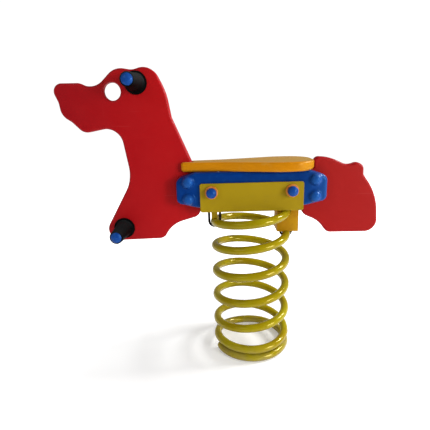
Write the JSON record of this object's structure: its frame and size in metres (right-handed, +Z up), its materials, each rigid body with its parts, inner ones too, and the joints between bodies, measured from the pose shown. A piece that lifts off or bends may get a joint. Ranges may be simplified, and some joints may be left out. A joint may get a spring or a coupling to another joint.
{
  "type": "spring rider",
  "caption": "Dog-shaped playground rider of cut board on a coil spring, with a flat seat, moulded side shells, hand grips and foot pegs; it rocks fore and aft.",
  "frame": {"origin": "on the ground, on the axis of the spring", "axes": "+Z up, -X towards the dog's nose, +Y across the rider, towards the side that is turned away in the picture"},
  "size_m": [0.7663, 0.2, 0.7145],
  "materials": {
    "spring_paint": "gloss",
    "bracket_paint": "satin",
    "orange_block": "satin",
    "dark_steel": "satin",
    "fastener_steel": "zinc plated",
    "red_board": "satin",
    "blue_shell": "semi-gloss",
    "orange_board": "satin",
    "orange_ring": "semi-gloss",
    "blue_cap": "gloss",
    "black_grip": "satin"
  },
  "bodies": {
    "spring": {"spring": "spring_paint"},
    "rider": {"spring_bracket": "bracket_paint", "clamp_block": "orange_block", "wire_saddle": "bracket_paint", "front_u_bolt": "dark_steel", "rear_u_bolt": "dark_steel", "u_bolt_washers": "fastener_steel", "u_bolt_nuts": "fastener_steel", "front_panel": "red_board", "rear_panel": "red_board", "left_shell": "blue_shell", "right_shell": "blue_shell", "seat": "orange_board", "seat_screws": "fastener_steel", "bracket_bolts": "fastener_steel", "bracket_nuts": "fastener_steel", "cap_bases": "orange_ring", "bolt_caps": "blue_cap", "panel_bolts": "fastener_steel", "panel_washers": "fastener_steel", "panel_nuts": "fastener_steel", "bolt_domes": "blue_shell", "handle_stud": "fastener_steel", "foot_stud": "fastener_steel", "handle_grip_left": "black_grip", "handle_grip_right": "black_grip", "foot_grip_left": "black_grip", "foot_grip_right": "black_grip", "grip_washers": "fastener_steel", "grip_nuts": "fastener_steel", "grip_caps": "blue_cap"}
  },
  "joints": [
    {"name": "rock", "type": "hinge", "parent": "spring", "child": "rider", "pos_m": [0, 0, 0.17], "axis": [0, 1, 0], "range_deg": [-20, 20], "stiffness_Nm_per_rad": 460, "deforming": ["spring"]}
  ]
}
